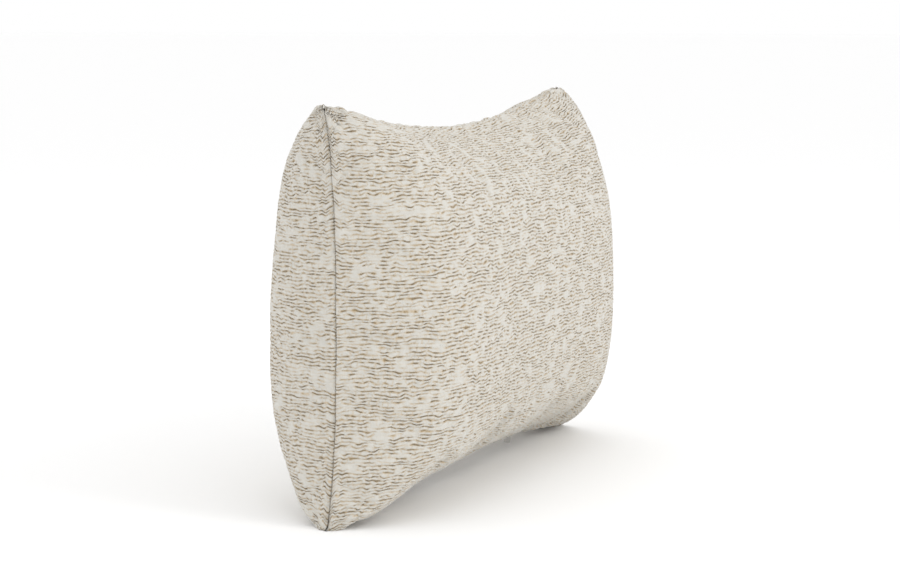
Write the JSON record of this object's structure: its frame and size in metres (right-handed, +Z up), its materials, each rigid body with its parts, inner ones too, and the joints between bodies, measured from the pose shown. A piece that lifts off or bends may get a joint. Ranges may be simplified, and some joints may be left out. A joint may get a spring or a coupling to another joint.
{
  "type": "lumbar support cushion",
  "caption": "Plump rectangular lumbar support cushion that stands on its long edge, with a zipped textured cover over a fibre-filled inner cushion.",
  "frame": {"origin": "on the surface the cushion stands on, under the middle of its box", "axes": "+X along the length, +Y through the thickness away from the sitter, +Z up"},
  "size_m": [0.5082, 0.17, 0.3184],
  "materials": {
    "cover_fabric": "matt nubby boucle weave",
    "cover_thread": "matt spun thread",
    "zip_tape": "matt woven tape",
    "zip_coil": "satin nylon",
    "zip_metal": "satin plated metal",
    "label_cloth": "smooth woven ribbon, blank",
    "ticking_cloth": "plain non-woven cloth",
    "ticking_thread": "matt spun thread",
    "fibre": "lofted hollow fibre"
  },
  "bodies": {
    "cushion": {"front_cover_panel": "cover_fabric", "rear_cover_panel": "cover_fabric", "cover_seam_thread": "cover_thread", "cover_overlock_thread": "cover_thread", "zip_tape_front": "zip_tape", "zip_tape_rear": "zip_tape", "zip_coil_front": "zip_coil", "zip_coil_rear": "zip_coil", "zip_top_stops": "zip_metal", "zip_bottom_stop": "zip_metal", "zip_tape_stitching": "cover_thread", "zip_bar_tacks": "cover_thread", "care_label": "label_cloth", "insert_label": "label_cloth", "insert_front_ticking": "ticking_cloth", "insert_rear_ticking": "ticking_cloth", "insert_seam_thread": "ticking_thread", "fibre_fill": "fibre"},
    "zip_slider": {"zip_slider": "zip_metal"},
    "zip_pull": {"zip_pull_tab": "zip_metal"}
  },
  "joints": [
    {"name": "zip_slide", "type": "slide", "parent": "cushion", "child": "zip_slider", "axis": [-1, 0, 0], "range_m": [0, 0.25]},
    {"name": "pull_tab_swing", "type": "hinge", "parent": "zip_slider", "child": "zip_pull", "pos_m": [0.125, 0, 0.0127], "axis": [0, 1, 0], "range_deg": [-85, 85]}
  ]
}
